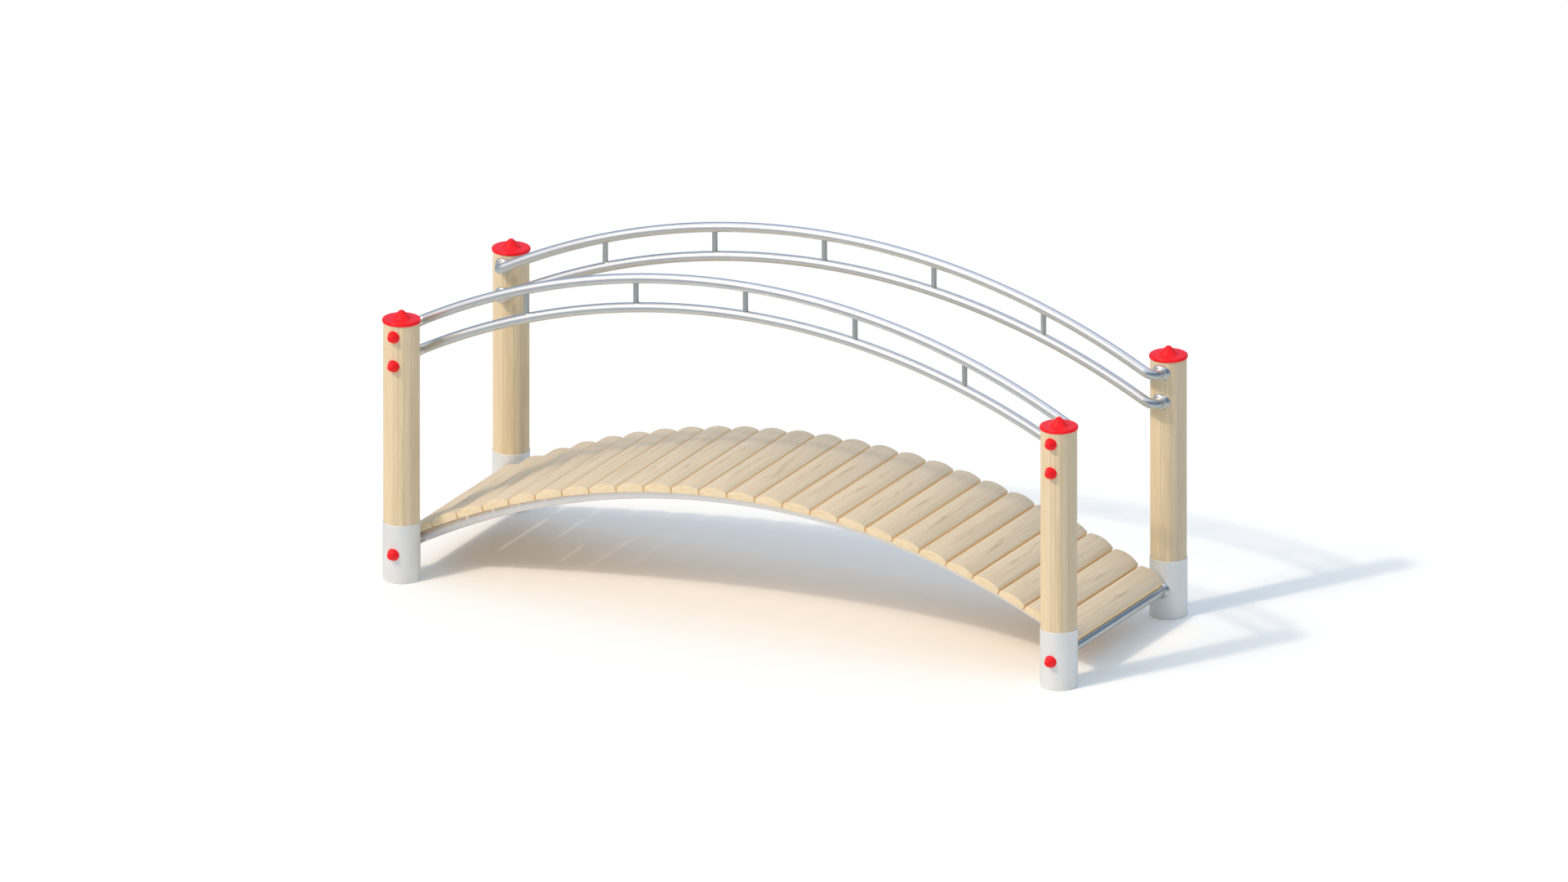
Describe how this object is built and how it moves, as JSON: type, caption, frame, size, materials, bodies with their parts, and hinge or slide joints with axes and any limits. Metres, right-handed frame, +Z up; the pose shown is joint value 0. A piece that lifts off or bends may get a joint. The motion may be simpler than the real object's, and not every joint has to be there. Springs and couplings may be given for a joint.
{
  "type": "arched playground footbridge",
  "caption": "Arched footbridge: crowned timber planks on curved steel tubes between round timber posts, with double arched tubular handrails and red caps.",
  "frame": {"origin": "on the ground, at the centre of the bridge", "axes": "+X along the bridge to its right end, +Y across it to the back side, +Z up"},
  "size_m": [2.5276, 0.978, 1.1733],
  "materials": {
    "timber_post": "planed pine, laminated, clear oiled",
    "deck_timber": "planed pine, fine lengthwise grain",
    "sleeve_steel": "satin light grey coating",
    "tube_steel": "smooth galvanised, satin shine",
    "strut_steel": "galvanised, satin",
    "red_plastic": "semi-gloss moulded"
  },
  "bodies": {
    "root": {"bolt_caps_back_left": "red_plastic", "bolt_caps_back_right": "red_plastic", "bolt_caps_front_left": "red_plastic", "bolt_caps_front_right": "red_plastic", "cross_tube_left": "tube_steel", "cross_tube_right": "tube_steel", "deck_stringer_back": "tube_steel", "deck_stringer_front": "tube_steel", "foot_sleeve_back_left": "sleeve_steel", "foot_sleeve_back_right": "sleeve_steel", "foot_sleeve_front_left": "sleeve_steel", "foot_sleeve_front_right": "sleeve_steel", "handrail_lower_back_left": "tube_steel", "handrail_lower_back_right": "tube_steel", "handrail_lower_front_left": "tube_steel", "handrail_lower_front_right": "tube_steel", "handrail_upper_back_left": "tube_steel", "handrail_upper_back_right": "tube_steel", "handrail_upper_front_left": "tube_steel", "handrail_upper_front_right": "tube_steel", "planks_crown": "deck_timber", "planks_left": "deck_timber", "planks_left_end": "deck_timber", "planks_right": "deck_timber", "planks_right_end": "deck_timber", "post_back_left": "timber_post", "post_back_right": "timber_post", "post_cap_back_left": "red_plastic", "post_cap_back_right": "red_plastic", "post_cap_front_left": "red_plastic", "post_cap_front_right": "red_plastic", "post_front_left": "timber_post", "post_front_right": "timber_post", "rail_struts_back": "strut_steel", "rail_struts_front": "strut_steel", "tube_flanges_back_left": "tube_steel", "tube_flanges_back_right": "tube_steel", "tube_flanges_front_left": "tube_steel", "tube_flanges_front_right": "tube_steel"}
  },
  "joints": []
}
